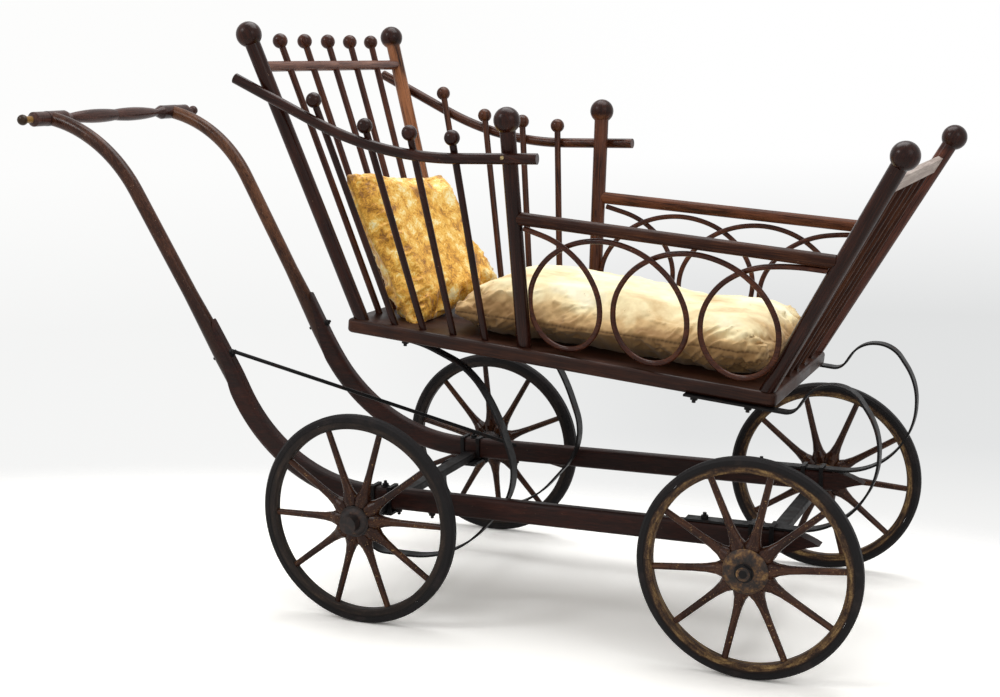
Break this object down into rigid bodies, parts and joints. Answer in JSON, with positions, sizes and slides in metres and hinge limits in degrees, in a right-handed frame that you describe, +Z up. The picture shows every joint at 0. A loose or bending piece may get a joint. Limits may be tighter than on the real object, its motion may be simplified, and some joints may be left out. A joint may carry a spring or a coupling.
{
  "type": "spindle baby carriage",
  "caption": "Turned spindle and bentwood baby carriage with a bent push handle, scroll springs and spoked wheels.",
  "frame": {"origin": "centre of the overall box, on the floor that the wheels stand on", "axes": "+Z up, +X from the push handle to the foot end, +Y across to the carriage's left side"},
  "size_m": [1.7784, 0.7176, 1.1309],
  "materials": {
    "dark_wood": "worn dark varnish",
    "pale_lath": "worn, greyed varnish",
    "black_iron": "blackened, lightly rusted",
    "tyre_rubber": "old matte rubber",
    "rear_felloe_paint": "dark worn paint",
    "front_felloe_paint": "worn ochre paint over dark wood",
    "hub_metal": "brown rusted metal",
    "mattress_cotton": "aged cream cotton",
    "cushion_damask": "golden yellow figured silk"
  },
  "bodies": {
    "carriage": {"floor_board": "dark_wood", "rear_posts": "dark_wood", "mid_posts": "dark_wood", "foot_posts": "dark_wood", "back_rail": "dark_wood", "back_spindles": "dark_wood", "foot_spindles": "dark_wood", "handle_bar": "dark_wood", "foot_rail": "pale_lath", "arm_rail_right": "dark_wood", "side_spindles_right": "dark_wood", "leg_rail_right": "dark_wood", "loop_fret_right": "dark_wood", "side_rail_right": "dark_wood", "handle_arm_right": "dark_wood", "rear_spring_right": "black_iron", "front_spring_right": "black_iron", "arm_rail_left": "dark_wood", "side_spindles_left": "dark_wood", "leg_rail_left": "dark_wood", "loop_fret_left": "dark_wood", "side_rail_left": "dark_wood", "handle_arm_left": "dark_wood", "rear_spring_left": "black_iron", "front_spring_left": "black_iron", "rear_axle": "black_iron", "front_axle": "black_iron", "axle_clips": "black_iron", "spring_bolts": "black_iron", "brace_rod": "black_iron", "mattress": "mattress_cotton", "back_cushion": "cushion_damask"},
    "rear_wheel_right": {"rear_tyre_right": "tyre_rubber", "rear_felloe_right": "rear_felloe_paint", "rear_spokes_right": "dark_wood", "rear_hub_right": "hub_metal"},
    "rear_wheel_left": {"rear_tyre_left": "tyre_rubber", "rear_felloe_left": "rear_felloe_paint", "rear_spokes_left": "dark_wood", "rear_hub_left": "hub_metal"},
    "front_wheel_right": {"front_tyre_right": "tyre_rubber", "front_felloe_right": "front_felloe_paint", "front_spokes_right": "dark_wood", "front_hub_right": "hub_metal"},
    "front_wheel_left": {"front_tyre_left": "tyre_rubber", "front_felloe_left": "front_felloe_paint", "front_spokes_left": "dark_wood", "front_hub_left": "hub_metal"}
  },
  "joints": [
    {"name": "rear_wheel_right_spin", "type": "hinge", "parent": "carriage", "child": "rear_wheel_right", "pos_m": [-0.12275, -0.3155, 0.203], "axis": [0, 1, 0], "continuous": true},
    {"name": "rear_wheel_left_spin", "type": "hinge", "parent": "carriage", "child": "rear_wheel_left", "pos_m": [-0.12275, 0.3155, 0.203], "axis": [0, 1, 0], "continuous": true},
    {"name": "front_wheel_right_spin", "type": "hinge", "parent": "carriage", "child": "front_wheel_right", "pos_m": [0.62825, -0.3155, 0.196], "axis": [0, 1, 0], "continuous": true},
    {"name": "front_wheel_left_spin", "type": "hinge", "parent": "carriage", "child": "front_wheel_left", "pos_m": [0.62825, 0.3155, 0.196], "axis": [0, 1, 0], "continuous": true}
  ]
}
